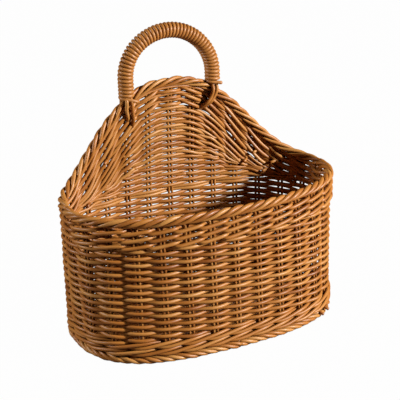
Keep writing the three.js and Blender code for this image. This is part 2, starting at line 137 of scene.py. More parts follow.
def wall(step, height, outward=0.0):
    """Points on the wall, or beside it by an outward distance, and the outward directions there."""
    step, height, outward = np.broadcast_arrays(
        np.asarray(step, float), np.asarray(height, float), np.asarray(outward, float))
    near = 0.12
    x, y = plan_point(step, height)
    ahead_x, ahead_y = plan_point(step + near, height)
    behind_x, behind_y = plan_point(step - near, height)
    out = np.stack([ahead_y - behind_y, behind_x - ahead_x, np.zeros_like(x)], axis=-1)
    out /= np.linalg.norm(out, axis=-1, keepdims=True)
    return np.stack([x, y, height], axis=-1) + out * outward[..., None], out


def smooth_step(value):
    value = np.clip(value, 0, 1)
    return value * value * (3 - 2 * value)


def round_step(step):
    return np.mod(step, STAKES)


def back_share(step):
    """0 round the front, 1 round the back, and between them in a short stretch beside the side stakes."""
    stretch = 1.2
    from_back = np.abs(round_step(step) - BACK_STAKE)
    return smooth_step((SIDE_STAKE + stretch / 2 - from_back) / stretch)


def hump(x):
    share = np.minimum(np.abs(x) / HUMP_HALF_WIDTH, 1)
    return HUMP_RISE * (1 + np.cos(math.pi * share ** HUMP_FULLNESS)) / 2


def border_height(step):
    step = np.asarray(step, float)
    is_back = np.abs(round_step(step) - BACK_STAKE) < SIDE_STAKE
    x, _ = plan_point(step, np.full_like(step, RIM_BORDER))
    return RIM_BORDER + np.where(is_back, hump(x), 0)


def border_slope(step):
    near = 0.08
    return (border_height(step + near) - border_height(step - near)) / (2 * near * BAY)


def below_border(step, distance):
    """The height that is a distance below the border, measured square to its slope."""
    return border_height(step) - distance * np.sqrt(1 + border_slope(step) ** 2)


def wander(count, amount, knots_apart):
    """A slow random drift along a strand."""
    knots = max(int(count / knots_apart) + 3, 4)
    at = np.linspace(0, knots - 1, count)
    low = np.floor(at).astype(int)
    share = smooth_step(at - low)
    values = RANDOM.normal(0, 1, knots + 1)
    return amount * (values[low] * (1 - share) + values[np.minimum(low + 1, knots)] * share)


def saw(phase):
    """Straight rises and falls between 1 at even phases and -1 at odd ones."""
    bend = 0.98
    return np.arcsin(bend * np.cos(math.pi * phase)) / math.asin(bend)


def over_under(step, steepness=1.45):
    """1 in front of even stakes, -1 behind odd ones, flat across a stake and straight between them."""
    softness = 6
    reach = 1.03
    slope = steepness * saw(step)
    return slope / (1 + np.abs(slope) ** softness) ** (1 / softness) * reach


def spline(knots, count):
    """A smooth line through a few points."""
    knots = np.asarray(knots, float)
    ends = np.vstack([2 * knots[0] - knots[1], knots, 2 * knots[-1] - knots[-2]])
    at = np.linspace(0, len(knots) - 1, count)
    low = np.minimum(at.astype(int), len(knots) - 2)
    t = (at - low)[:, None]
    a, b, c, d = ends[low], ends[low + 1], ends[low + 2], ends[low + 3]
    return 0.5 * (2 * b + (c - a) * t + (2 * a - 5 * b + 4 * c - d) * t ** 2
                  + (3 * b - a - 3 * c + d) * t ** 3)


class Strands:
    """Round strands in one mesh. Each keeps its tone and the place along it, for the material."""

    # The smaller ring that rounds each end, in shares of the strand's radius
    cap_length = 0.3
    cap_radius = 0.66
    # How far apart strands may lie in the noise, and how slowly the tone changes along a strand, in rings
    noise_room = 900
    tone_knots_apart = 14

    def __init__(self):
        self.points, self.faces, self.grain, self.tone = [], [], [], []
        self.count = 0

    def add(self, line, out, radius, sides=8, tone_spread=0.16):
        """A strand along a line. The directions out from it only settle where its sides begin."""
        line = np.asarray(line, float)
        out = np.broadcast_to(np.asarray(out, float), line.shape)
        radius = np.broadcast_to(np.asarray(radius, float), len(line))
        tangent = np.gradient(line, axis=0)
        tangent /= np.linalg.norm(tangent, axis=1, keepdims=True)
        line = np.vstack([line[0] - self.cap_length * radius[0] * tangent[0], line,
                          line[-1] + self.cap_length * radius[-1] * tangent[-1]])
        out = np.vstack([out[0], out, out[-1]])
        tangent = np.vstack([tangent[0], tangent, tangent[-1]])
        radius = np.concatenate([[self.cap_radius * radius[0]], radius, [self.cap_radius * radius[-1]]])
        side = np.cross(tangent, out)
        side /= np.linalg.norm(side, axis=1, keepdims=True)
        up = np.cross(side, tangent)
        angle = np.linspace(0, 2 * math.pi, sides, endpoint=False)
        c, s = np.cos(angle)[None, :, None], np.sin(angle)[None, :, None]
        ring = (c * up[:, None] + s * side[:, None]) * radius[:, None, None]
        rings = len(line)
        along = np.concatenate([[0], np.cumsum(np.linalg.norm(np.diff(line, axis=0), axis=1))])
        place = RANDOM.uniform(0, self.noise_room)
        grain = np.empty((rings, sides, 3))
        grain[..., 0] = radius[:, None] * np.cos(angle) + place
        grain[..., 1] = radius[:, None] * np.sin(angle)
        grain[..., 2] = along[:, None] + place
        tone = 0.5 + RANDOM.normal(0, tone_spread)
        tone = tone + wander(rings, 0.5 * tone_spread, self.tone_knots_apart)
        first = self.count
        ring_start = first + np.arange(rings - 1)[:, None] * sides
        j = np.arange(sides)[None, :]
        k = (j + 1) % sides
        quads = np.stack([ring_start + j, ring_start + k, ring_start + sides + k,
                          ring_start + sides + j], axis=-1).reshape(-1, 4)
        self.faces += quads.tolist()
        last = first + (rings - 1) * sides
        self.faces.append(list(range(first + sides - 1, first - 1, -1)))
        self.faces.append(list(range(last, last + sides)))
        self.points.append((line[:, None] + ring).reshape(-1, 3))
        self.grain.append(grain.reshape(-1, 3))
        self.tone.append(np.repeat(np.clip(tone, 0, 1), sides))
        self.count += rings * sides

    def build(self, name, slot_name, material, *nodes):
        """One piece of all the strands, in place of the CAD's nodes."""
        points = (np.concatenate(self.points) + [0, BACKWARD_SHIFT, 0]) * METRE
        mesh = bpy.data.meshes.new(name)
        mesh.from_pydata(points.tolist(), [], self.faces)
        mesh.shade_smooth()
        grain = mesh.attributes.new("grain", "FLOAT_VECTOR", "POINT")
        grain.data.foreach_set("vector", np.concatenate(self.grain).ravel())
        tone = mesh.attributes.new("tone", "FLOAT", "POINT")
        tone.data.foreach_set("value", np.concatenate(self.tone))
        mesh.materials.append(material)
        piece = bpy.data.objects.new(name, mesh)
        bpy.context.scene.collection.objects.link(piece)
        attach(piece, "root")
        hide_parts(*nodes)


# Materials

def cane(name, dark, middle, light, roughness, painted_shade_below=0.62):
    """A semi-gloss cane: lengthwise streaks, a tone for each strand, worn patches, and painted shade in the
    crevices.
    """
    # The near-black colour of the painted shade in the crevices, and the reach of the occlusion that finds
    # them
    painted_shade_colour = (0.055, 0.011, 0.001)
    crevice_width = 0.005
    streak_depth = 0.0002
    material = bpy.data.materials.new(name)
    material.use_nodes = True
    nodes, links = material.node_tree.nodes, material.node_tree.links
    shader = nodes["Principled BSDF"]

    def attribute(label):
        node = nodes.new("ShaderNodeAttribute")
        node.attribute_name = label
        return node

    def noise(place, stretch, scale, detail):
        """Noise in a place scaled by a factor for each axis. The third axis runs along the strand."""
        stretched = nodes.new("ShaderNodeVectorMath")
        stretched.operation = "MULTIPLY"
        stretched.inputs[1].default_value = stretch
        links.new(place, stretched.inputs[0])
        texture = nodes.new("ShaderNodeTexNoise")
        texture.inputs["Scale"].default_value = scale
        texture.inputs["Detail"].default_value = detail
        links.new(stretched.outputs[0], texture.inputs["Vector"])
        return texture.outputs["Fac"]

    # A mix node has inputs 2 and 3 and output 0 for numbers, and inputs 6 and 7 and output 2 for colours
    def blend(first, second, factor):
        mix = nodes.new("ShaderNodeMix")
        mix.data_type = "FLOAT"
        mix.inputs["Factor"].default_value = factor
        links.new(first, mix.inputs[2])
        links.new(second, mix.inputs[3])
        return mix.outputs[0]

    grain = attribute("grain").outputs["Vector"]
    tone = attribute("tone").outputs["Fac"]
    streaks = noise(grain, (1.0, 1.0, 0.035), 2.2, 4)
    patches = noise(grain, (0.2, 0.2, 0.06), 1.0, 2)
    # Half of the shade is the strand's own tone
    shade = blend(blend(streaks, patches, 0.45), tone, 0.5)
    ramp = nodes.new("ShaderNodeValToRGB")
    ramp.color_ramp.elements[0].position = 0.3
    ramp.color_ramp.elements[0].color = (*dark, 1)
    ramp.color_ramp.elements[1].position = 0.7
    ramp.color_ramp.elements[1].color = (*light, 1)
    ramp.color_ramp.elements.new(0.5).color = (*middle, 1)
    links.new(shade, ramp.inputs["Fac"])

    # Painted shade: narrow places between the strands, found by ambient occlusion, are darkened towards a
    # near-black colour
    hidden = nodes.new("ShaderNodeAmbientOcclusion")
    hidden.samples = 8
    hidden.inputs["Distance"].default_value = crevice_width
    openness = nodes.new("ShaderNodeMapRange")
    openness.inputs["From Min"].default_value = 0.2 * painted_shade_below
    openness.inputs["From Max"].default_value = painted_shade_below
    links.new(hidden.outputs["AO"], openness.inputs["Value"])
    painted_shade_mix = nodes.new("ShaderNodeMix")
    painted_shade_mix.data_type = "RGBA"
    painted_shade_mix.inputs[6].default_value = (*painted_shade_colour, 1)
    links.new(openness.outputs["Result"], painted_shade_mix.inputs["Factor"])
    links.new(ramp.outputs["Color"], painted_shade_mix.inputs[7])
    links.new(painted_shade_mix.outputs[2], shader.inputs["Base Color"])

    shader.inputs["Specular IOR Level"].default_value = 0.42
    gloss = nodes.new("ShaderNodeMapRange")
    gloss.inputs["To Min"].default_value = roughness - 0.1
    gloss.inputs["To Max"].default_value = roughness + 0.12
    links.new(streaks, gloss.inputs["Value"])
    links.new(gloss.outputs["Result"], shader.inputs["Roughness"])

    bump = nodes.new("ShaderNodeBump")
    bump.inputs["Strength"].default_value = 0.35
    bump.inputs["Distance"].default_value = streak_depth
    links.new(streaks, bump.inputs["Height"])
    links.new(bump.outputs["Normal"], shader.inputs["Normal"])
    return material


# The last argument sets how open a place must be before the painted shade in the crevices stops darkening
# it
WEAVER_CANE = cane("weaver_cane", (0.25, 0.072, 0.009), (0.42, 0.152, 0.024), (0.51, 0.226, 0.052), 0.43,
                   painted_shade_below=0.56)
STAKE_CANE = cane("stake_cane", (0.27, 0.080, 0.010), (0.43, 0.158, 0.026), (0.51, 0.226, 0.052), 0.44)
WALE_CANE = cane("wale_cane", (0.26, 0.076, 0.010), (0.43, 0.156, 0.025), (0.52, 0.232, 0.054), 0.42)
BORDER_CANE = cane("border_cane", (0.27, 0.080, 0.011), (0.44, 0.162, 0.027), (0.53, 0.240, 0.058), 0.41)
WRAP_CANE = cane("wrap_cane", (0.28, 0.095, 0.016), (0.44, 0.172, 0.036), (0.54, 0.255, 0.074), 0.41,
                 painted_shade_below=0.38)


# The weave

def level(step):
    """Rows lie level and climb to the next level in a few bays. The first climb out of what is below."""
    turn = np.floor(step / STAKES)
    return turn - 1 + smooth_step((step - turn * STAKES) / CLIMB_BAYS)


def body_weave():
    """Two strands that chase each other up the wall. Low at the back they are fuller, and nestle closer."""
    strands = Strands()
    samples = 6
    # Where each strand's first row comes out of the foot wale, in steps past the climb
    first_starts = (2.15, 1.1)
    # How far below the top the strands begin to be fuller, and over what height they get so
    fade = 14
    low_nestle, low_fullness = 0.2, 0.34
    for strand in (0, 1):
        rounds = math.ceil((BODY_ROWS - strand) / 2)
        for turn in range(rounds):
            start = turn * STAKES + (first_starts[strand] if turn == 0 else 0)
            end = (turn + 1) * STAKES
            step = np.linspace(start, end, int((end - start) * samples) + 1)
            place = step + BODY_CLIMB_STAKE
            height = BODY_BOTTOM + PITCH * (2 * level(step) + strand + 0.5)
            behind = back_share(place)
            side = over_under(place + strand)
            low = behind * smooth_step((BODY_TOP - fade - height) / fade)
            nestle = NESTLE * (1 - 2 * behind) - low_nestle * low
            height = height + nestle * side + wander(len(step), 0.12, 5)
            outward = WEAVE * (FRONT_WEAVE - (FRONT_WEAVE - 1) * behind) * side
            line, out = wall(place, height, outward + wander(len(step), 0.08, 4))
            thick = ROD / 2 + 0.03 * behind + low_fullness * low
            strands.add(line, out, thick + wander(len(step), 0.03, 9))
    # Each strand runs on under the twine after its last row
    for strand, last_row, last_step in ((1, BODY_ROWS - 1.5, 2.2), (0, BODY_ROWS - 0.5, 1.2)):
        step = np.linspace(-0.3, last_step, 18)
        place = step + BODY_CLIMB_STAKE
        row = np.minimum(last_row + 2 * smooth_step(step / CLIMB_BAYS), BODY_ROWS - 0.4)
        line, out = wall(place, BODY_BOTTOM + PITCH * row, WEAVE * over_under(place + strand))
        strands.add(line, out, ROD / 2)
    nodes = [f"body_weaver_{k}" for k in range(1, 5)]
    strands.build("body_weave", "weaver_strand", WEAVER_CANE, *nodes)


def stakes():
    """Pairs of stakes, whose tops lean over into the border."""
    strands = Strands()
    apart = 1.1
    # The tip's points: the last two above the seat, and how far the last three lean sideways and outward
    tip_heights = (0.6, 2.2)
    tip_lean = (-0.02, -0.07, -0.14)
    tip_outward = (0.1, 0.4, 0.9)
    for stake in range(STAKES):
        for side in (-1, 1):
            place = stake + side * (PITCH / 2 / BAY) * apart
            top = below_border(place, BORDER_RADIUS + SEAT)
            straight = np.linspace(FOOT_BORDER_HEIGHT - 3, top - 1, 26)
            height = np.concatenate([straight, top + np.array(tip_heights)])
            lean = np.zeros(len(height))
            lean[-3:] = tip_lean
            lean = lean + wander(len(height), 0.006, 9)
            outward = np.zeros(len(height))
            outward[-3:] = tip_outward
            line, out = wall(place + lean, height, outward)
            strands.add(line, out, STAKE_ROD / 2)
    nodes = [f"stake_{k:02d}" for k in range(1, STAKES + 1)]
    strands.build("stakes", "stake_strand", STAKE_CANE, *nodes)


def stub(strands, step, height, start, end, drift, rise):
    """A cut end that comes out from between the rods, from one outward distance to the other."""
    share = np.linspace(0, 1, 5)
    line, _ = wall(step + drift / BAY * share ** 2, height + rise * share, start + (end - start) * share)
    strands.add(line, (0, 0, 1), STUB_ROD / 2)


def foot_wale():
    """Three strands, each in front of two stakes and behind one, coming out low and going in high."""
    strands = Strands()
    samples = 7
    start, end = 1.2, FOOT_WALE_ROWS * STAKES + 1.4
    # With these a strand stands at 1 in front of two stakes and at -1 behind the third
    middle, swing, second_swing = 0.333, 1.05, 0.283
    climb = 0.66
    for strand in range(3):
        step = np.linspace(start, end, int((end - start) * samples))
        turn = 2 * math.pi * (step + FOOT_CLIMB_STAKE + strand - 0.5) / 3
        outward = WALE * (middle + swing * np.cos(turn) - second_swing * np.cos(2 * turn))
        row = np.minimum(level(step), FOOT_WALE_ROWS - 1)
        height = FOOT_WALE_BOTTOM + PITCH * (1 + 2 * row + climb * np.sin(turn))
        line, out = wall(step + FOOT_CLIMB_STAKE, height, outward)
        strands.add(line, out, ROD / 2 + wander(len(step), 0.03, 9))
    # Three cut ends at the lower right
    for step, height, outward, drift, rise in (
            (7.0, 17.5, 7.6, 2.5, 2.0), (4.45, 10.5, 7.8, 0.8, -3.2), (4.1, 8.5, 6.8, 0.8, -3.0)):
        stub(strands, step, height, 1.5, outward, drift, rise)
    nodes = [f"foot_wale_{k}" for k in (1, 2, 3)]
    strands.build("foot_wale", "wale_strand", WALE_CANE, *nodes)


def twine_side(phase):
    """1 in front of even stakes for the longer part of the way, then a quick dive to -1 behind odd ones."""
    quickness, longer = 2.2, 0.35
    return np.tanh(quickness * (np.cos(math.pi * phase) + longer)) / math.tanh(quickness * (1 - longer))


def twine_hand(step):
    """The way the twine is laid: the same all round, but the other way on the right half of the back."""
    stretch = 0.8
    place = round_step(step)
    past_side = smooth_step((place - SIDE_STAKE + stretch / 2) / stretch)
    before_back = smooth_step((BACK_STAKE + stretch / 2 - place) / stretch)
    return 1 - 2 * past_side * before_back


def rim_twine():
    """Rows of two strands that change places between the stakes, all round under the border."""
    strands = Strands()
    samples = 9
    start = 20
    crossing_height = 0.47 * TWINE_PITCH
    back_lift = 0.65
    filler_radius = 1.75
    for row in range(TWINE_ROWS):
        distance = BORDER_RADIUS + SEAT + TWINE_PITCH * (1 + 2 * (TWINE_ROWS - 1 - row))
        for strand in (0, 1):
            step = np.linspace(start, start + STAKES, STAKES * samples + 1)
            phase = step + strand + row
            behind = back_share(step)
            proud = TWINE_PROUD * (1 - behind)
            slopes = behind * smooth_step((np.abs(round_step(step) - BACK_STAKE) - 1) / 2)
            side = twine_side(phase) + slopes * (over_under(phase, 1.15) - twine_side(phase))
            outward = side * WEAVE + proud * smooth_step(0.5 + side)
            lift = crossing_height * twine_hand(step) * saw(phase - 0.5) + back_lift * side * behind
            height = below_border(step, distance - lift) + wander(len(step), 0.1, 6)
            line, out = wall(step, height, outward)
            thick = ROD / 2 + 0.08 + 0.06 * behind
            strands.add(line, out, thick + wander(len(step), 0.03, 9))
    # Round the back a rod lies inside each row
    first, last = SIDE_STAKE + 0.2, STAKES - SIDE_STAKE - 0.2
    for row in range(TWINE_ROWS):
        step = np.linspace(first, last, (STAKES - 2 * SIDE_STAKE) * 4)
        height = below_border(step, BORDER_RADIUS + SEAT + 2 * TWINE_PITCH * (row + 0.06))
        line, out = wall(step, height, 0.2)
        strands.add(line, out, filler_radius, sides=6, tone_spread=0.05)
    nodes = [f"rim_twine_{row}{side}" for row in (1, 2, 3) for side in "ab"]
    strands.build("rim_twine", "wale_strand", WALE_CANE, *nodes)


# The back panel: rows that turn back, pair by pair, where the hump falls and there is less room for them.
# Distances out are counted in bays from the middle of the back

PANEL_PITCH = 2.85
PANEL_WEAVE = 1.95
PANEL_STEEPNESS = 1.1


def panel_room(out):
    """The height of the panel between the body's top row and the twine."""
    distance = BORDER_RADIUS + SEAT + TWINE_ROWS * 2 * TWINE_PITCH
    return np.maximum(below_border(BACK_STAKE - np.asarray(out, float), distance) - BODY_TOP, 0)


def panel_lean(out):
    """The slope of the top row, and how much taller a row stands on average because the rows slope."""
    slope = np.maximum(np.abs(border_slope(BACK_STAKE - np.asarray(out, float))), 0.01)
    return slope, slope / np.arcsinh(slope)


def pairs_fitting(out):
    """How many pairs of rows have room."""
    return panel_room(out) / (2 * PANEL_PITCH * panel_lean(out)[1])


PAIR_COUNT = int(pairs_fitting(0.0))
PANEL_ROWS = 2 * PAIR_COUNT


def pair_ranks():
    """The order in which pairs turn back: scattered over the panel, but the outer pairs go on longest."""
    scatter, outer_favour = 0.618, 1.2
    share = np.arange(PAIR_COUNT) / (PAIR_COUNT - 1)
    standing = np.mod(np.arange(PAIR_COUNT) * scatter, 1.0) + outer_favour * np.abs(2 * share - 1) ** 3
    ranks = np.zeros(PAIR_COUNT, int)
    ranks[np.argsort(-standing, kind="stable")] = np.arange(PAIR_COUNT)
    return ranks


def pair_reaches(ranks):
    """The stake that each pair turns back round, by its rank."""
    squeeze = 0.35
    out = np.linspace(0, SIDE_STAKE - 0.4, 400)
    fitting = np.minimum.accumulate(pairs_fitting(out))
    ends = np.array([out[fitting > min(rank + squeeze, fitting[0])].max(initial=0) for rank in ranks])
    return np.clip(np.ceil(ends - 0.2), 1, SIDE_STAKE - 1)


RANKS = pair_ranks()
REACHES = pair_reaches(RANKS)


def row_pair(row, side):
    """The pair that a row turns back with, to the right for side 1 and to the left for side -1."""
    return row // 2 if side > 0 else min((row + 1) // 2, PAIR_COUNT - 1)


def row_reach(row, side):
    return int(REACHES[row_pair(row, side)])


def row_weights(out):
    """The share of a full row's room that each row takes at distances from the middle."""
    least, slowness, head_start, turn_length = 0.22, 1.9, 0.4, 0.45
    out = np.asarray(out, float)
    pair = np.array([[row_pair(row, side) for row in range(PANEL_ROWS)] for side in (1, -1)])
    pair = np.where(out[None, :] >= 0, pair[0][:, None], pair[1][:, None])
    spare = pairs_fitting(out)[None, :] - RANKS[pair]
    weight = np.clip((spare + head_start) / slowness, least, 1)
    return weight * (1 - smooth_step((np.abs(out)[None, :] - REACHES[pair]) / turn_length))


def row_heights(out):
    """Heights of all the rows at distances from the middle, evenly spaced apart from those turning back."""
    weight = row_weights(out)
    total = np.maximum(weight.sum(axis=0), 0.5)
    share = (np.cumsum(weight, axis=0) - weight / 2) / total
    slope, _ = panel_lean(out)
    bend = np.sinh(share * np.arcsinh(slope)) / slope
    return BODY_TOP + panel_room(out) * bend


def back_panel():
    """The rows one after another, each turned round its last stake into the next, and cut into strands."""
    strands = Strands()
    samples = 7
    turn_samples = 8
    turn_reach = 0.24
    strand_count = 14
    thinnest = 0.72
    path = []
    for row in range(PANEL_ROWS):
        heading = 1 if row % 2 == 0 else -1
        start = -heading * row_reach(row, -heading)
        end = heading * row_reach(row, heading)
        bays = abs(end - start)
        out = np.linspace(start, end, bays * samples + 1)
        side = over_under(out + row, PANEL_STEEPNESS)
        height = row_heights(out)[row] - NESTLE * side + wander(len(out), 0.1, 5)
        thick = ROD / 2 * (thinnest + (1 - thinnest) * row_weights(out)[row])
        path.append(np.stack([out, height, PANEL_WEAVE * side, thick], axis=1))
        if row == PANEL_ROWS - 1:
            break
        side = float(over_under(np.float64(end + row), PANEL_STEEPNESS))
        here, above = row_heights(np.array([float(end)]))[[row, row + 1], 0]
        angle = np.linspace(0, math.pi, turn_samples + 2)[1:-1]
        path.append(np.stack([
            end + heading * turn_reach * np.sin(angle),
            here + (above - here) * angle / math.pi - NESTLE * side * np.cos(angle),
            side * PANEL_WEAVE * np.cos(angle),
            np.full_like(angle, thick[-1])], axis=1))
    path = np.vstack(path)
    line, out = wall(BACK_STAKE - path[:, 0], path[:, 1], path[:, 2])
    cuts = np.linspace(0, len(line) - 1, strand_count + 1).astype(int)
    for first, last in zip(cuts[:-1], cuts[1:]):
        part = slice(first, last + 1)
        strands.add(line[part], out[part], path[part, 3])
    # Cut ends on the inside, at the right and at the left
    for first, last, count in ((8.3, 10.5, 6), (17.0, 18.0, 2)):
        for step in np.linspace(first, last, count):
            height = below_border(step, RANDOM.uniform(12, 34))
            stub(strands, step, float(height), -0.5, -4.6, RANDOM.uniform(3, 6), RANDOM.uniform(-3, 0))
    nodes = [f"back_weaver_{k}" for k in range(1, 8)]
    strands.build("back_panel", "weaver_strand", WEAVER_CANE, *nodes)


# Borders

ROPE_STRANDS = 4


def rope(strands, step, height, outward, turns, helix, radius, hand, widest, leaf, core, core_drop=0.0):
    """Strands laid round a border's middle line and a core. They are thickest at the widest angle."""
    centre, out = wall(step, height, outward)
    tangent = np.gradient(centre, axis=0)
    tangent /= np.linalg.norm(tangent, axis=1, keepdims=True)
    up = np.cross(out, tangent)
    up *= np.sign(up[:, 2:3])
    for k in range(ROPE_STRANDS):
        angle = 2 * math.pi * (hand * turns + k / ROPE_STRANDS)
        around = np.cos(angle)[:, None] * out + np.sin(angle)[:, None] * up
        distance = helix + wander(len(step), 0.22, 8)
        thick = radius * (1 + leaf * np.cos(angle - widest)) + wander(len(step), 0.06, 9)
        strands.add(centre + around * distance[:, None], around, thick)
    strands.add(centre - [0, 0, core_drop], out, core, sides=6)


def length_at(step, height, outward):
    """The length along a line on the wall, at each of its points."""
    centre, _ = wall(step, height, outward)
    return np.concatenate([[0], np.cumsum(np.linalg.norm(np.diff(centre, axis=0), axis=1))])


def foot_rope():
    """The rolled foot, on a core that lies low enough to rest on."""
    strands = Strands()
    turn_length = 42
    step = np.linspace(0, STAKES, STAKES * 9 + 1)
    outward = 0.5
    height = np.full_like(step, FOOT_BORDER_HEIGHT / 2 + 0.35)
    length = length_at(step, height, outward)
    turns = length / length[-1] * round(length[-1] / turn_length)
    rope(strands, step, height, outward, turns, helix=2.15, radius=1.65, hand=-1,
         widest=0, leaf=0.16, core=2.3, core_drop=1.2)
    strands.build("foot_rope", "border_strand", BORDER_CANE, "foot_border")


def rim_ropes():
    """The rolled rim. The strands of its back half are laid looser, and meet the front's at both ends."""
    turn_length = 47
    back_turns = 0.85
    step = np.linspace(-SIDE_STAKE, STAKES - SIDE_STAKE, STAKES * 9 + 1)
    height = border_height(step)
    outward = TWINE_PROUD * (1 - back_share(step))
    length = length_at(step, height, outward)
    turns = length / length[-1] * round(length[-1] / turn_length)
    middle = np.searchsorted(step, SIDE_STAKE)
    joint = turns[middle]
    last = round(ROPE_STRANDS * (joint + back_turns * (turns[-1] - joint))) / ROPE_STRANDS
    turns[middle:] = joint + (turns[middle:] - joint) * (last - joint) / (turns[-1] - joint)
    for name, node, part, helix, radius in (
            ("front_rope", "front_border", slice(0, middle + 1), 2.75, 1.75),
            ("back_rope", "back_border", slice(middle, len(step)), 2.98, 1.58)):
        strands = Strands()
        rope(strands, step[part], height[part], outward[part], turns[part], helix, radius, hand=1,
             widest=math.pi / 2, leaf=0.24, core=1.4)
        strands.build(name, "border_strand", BORDER_CANE, node)


def base_weave():
    """The base: rows of paired rods, woven over and under cross ribs inside the foot border."""
    strands = Strands()
    row_radius, ring_radius, rib_radius = 1.66, 1.5, 0.8
    row_end, rib_end = 1.2, 1.5
    rib_half_gap = 1.4
    middle = 5.0
    inset = 2.2
    front, back = FOOT_PLAN.y.min(), FOOT_PLAN.y.max()
    drop = BASE_GROOVE / 2

    def half_length(y):
        """Half the width of the foot at y, inside the border."""
        depth = np.where(y < 0, -front - inset, back - inset)
        square = np.where(y < 0, FOOT_FRONT_SQUARE, FOOT_BACK_SQUARE)
        share = np.clip(1 - (np.abs(y) / depth) ** square, 0, 1)
        return (FOOT_PLAN.x.max() - inset) * share ** (1 / square)

    rows = int((back - front) / BASE_ROW)
    for row in range(1, rows + 1):
        for side in (-1, 1):
            y = front + row * BASE_ROW + side * PITCH / 2
            reach = float(half_length(y)) - row_end
            if reach < BASE_RIB:
                continue
            x = np.linspace(-reach, reach, int(2 * reach / BASE_RIB * 7))
            z = middle + drop * over_under(x / BASE_RIB + row)
            strands.add(np.stack([x, np.full_like(x, y), z], axis=1), (0, 0, 1), row_radius)
    # Two rings close the slot between the rows' ends and the wall
    around = np.linspace(0, STAKES, STAKES * 8 + 1)
    for outward, height in ((-3.3, 6.2), (-5.4, 5.4)):
        line, out = wall(around, height, outward)
        strands.add(line, out, ring_radius, tone_spread=0.05)
    for k in range(-5, 6):
        for side in (-1, 1):
            x = k * BASE_RIB + side * rib_half_gap
            y = np.linspace(front + inset, back - inset, 240)
            y = y[half_length(y) > abs(x) + rib_end]
            y = np.linspace(y[0], y[-1], 14)
            line = np.stack([np.full_like(y, x), y, np.full_like(y, middle)], axis=1)
            strands.add(line, (0, 0, 1), rib_radius, sides=6)
    strands.build("base_weave", "weaver_strand", WEAVER_CANE, "base_mat")


# Handle

def handle_step():
    """Where the right leg stands, in steps."""
    steps = np.linspace(SIDE_STAKE, BACK_STAKE, 4001)
    x, _ = plan_point(steps, np.full_like(steps, RIM_BORDER))
    return float(np.interp(HANDLE_HALF_SPAN, x[::-1], steps[::-1]))


HANDLE_STEP = handle_step()
HANDLE_PLANE = float(plan_point(np.array(HANDLE_STEP), np.array(RIM_BORDER))[1])
HANDLE_BORDER = float(border_height(HANDLE_STEP))
HANDLE_FOOT = HANDLE_BORDER + LEG_START
ARCH_SPRING = HANDLE_TOP - HANDLE_ARCH
LEG = ARCH_SPRING - HANDLE_FOOT
ARCH_PLAN = Plan(half_width=HANDLE_HALF_SPAN, front_depth=HANDLE_ARCH, back_depth=HANDLE_ARCH,
                 front_square=2, back_square=2)
ARCH_LENGTH = ARCH_PLAN.length[-1] / 2
HANDLE_LENGTH = ARCH_LENGTH + 2 * LEG


def handle_line(distance):
    """Points on the handle's middle line, and the directions away from the inside of the arch."""
    near = 0.4

    # The arch is the upper half of an oval, from its left end at 0.75 of the way round it to its right end
    def place(d):
        past = d - LEG - ARCH_LENGTH
        x, y = ARCH_PLAN.at(0.75 - np.clip(d - LEG, 0, ARCH_LENGTH) / ARCH_PLAN.length[-1])
        x = np.where(d <= LEG, -HANDLE_HALF_SPAN, np.where(past >= 0, HANDLE_HALF_SPAN, x))
        z = np.where(d <= LEG, HANDLE_FOOT + d, np.where(past >= 0, ARCH_SPRING - past, ARCH_SPRING + y))
        return x - HANDLE_LEAN * smooth_step((z - HANDLE_FOOT) / (HANDLE_TOP - HANDLE_FOOT)), z

    x, z = place(distance)
    ahead_x, ahead_z = place(distance + near)
    behind_x, behind_z = place(distance - near)
    away = np.stack([behind_z - ahead_z, np.zeros_like(x), ahead_x - behind_x], axis=1)
    away /= np.linalg.norm(away, axis=1, keepdims=True)
    return np.stack([x, np.full_like(x, HANDLE_PLANE), z], axis=1), away


def handle_wrap():
    """One long winding, whose two ends lie across the front of the legs and stick out a little."""
    strands = Strands()
    per_turn = 18
    winding = WRAP_OUTER - WRAP_ROD / 2
    first, last = -3.4, HANDLE_LENGTH - 1.2
    count = WRAP_TURNS * per_turn + 1
    distance = np.linspace(first, last, count)
    turn = 2 * math.pi * (np.linspace(0, WRAP_TURNS, count) - 0.25)
    centre, away = handle_line(distance)
    radial = np.cos(turn)[:, None] * away + np.sin(turn)[:, None] * np.array([0.0, 1.0, 0.0])
    line = centre + radial * winding
    # Where the two free ends run, from the first and the last point of the winding
    left_end = np.array([(9.6, -0.2, -3.0), (7.4, -0.9, -2.4), (4.8, -1.0, -1.6), (2.4, -0.5, -0.7)])
    right_end = np.array([(1.8, -0.35, -0.2), (3.6, -0.8, -0.5), (5.0, -1.0, -0.8), (6.2, -1.0, -1.0)])
    line = np.vstack([line[0] + left_end, line, line[-1] + right_end])
    radial = np.vstack([np.repeat(radial[:1], len(left_end), axis=0), radial,
                        np.repeat(radial[-1:], len(right_end), axis=0)])
    radius = WRAP_ROD / 2 + wander(len(line), 0.04, 12)
    strands.add(line, radial, radius, tone_spread=0.1)
    strands.build("handle_winding", "border_strand", WRAP_CANE, "handle_wrap")


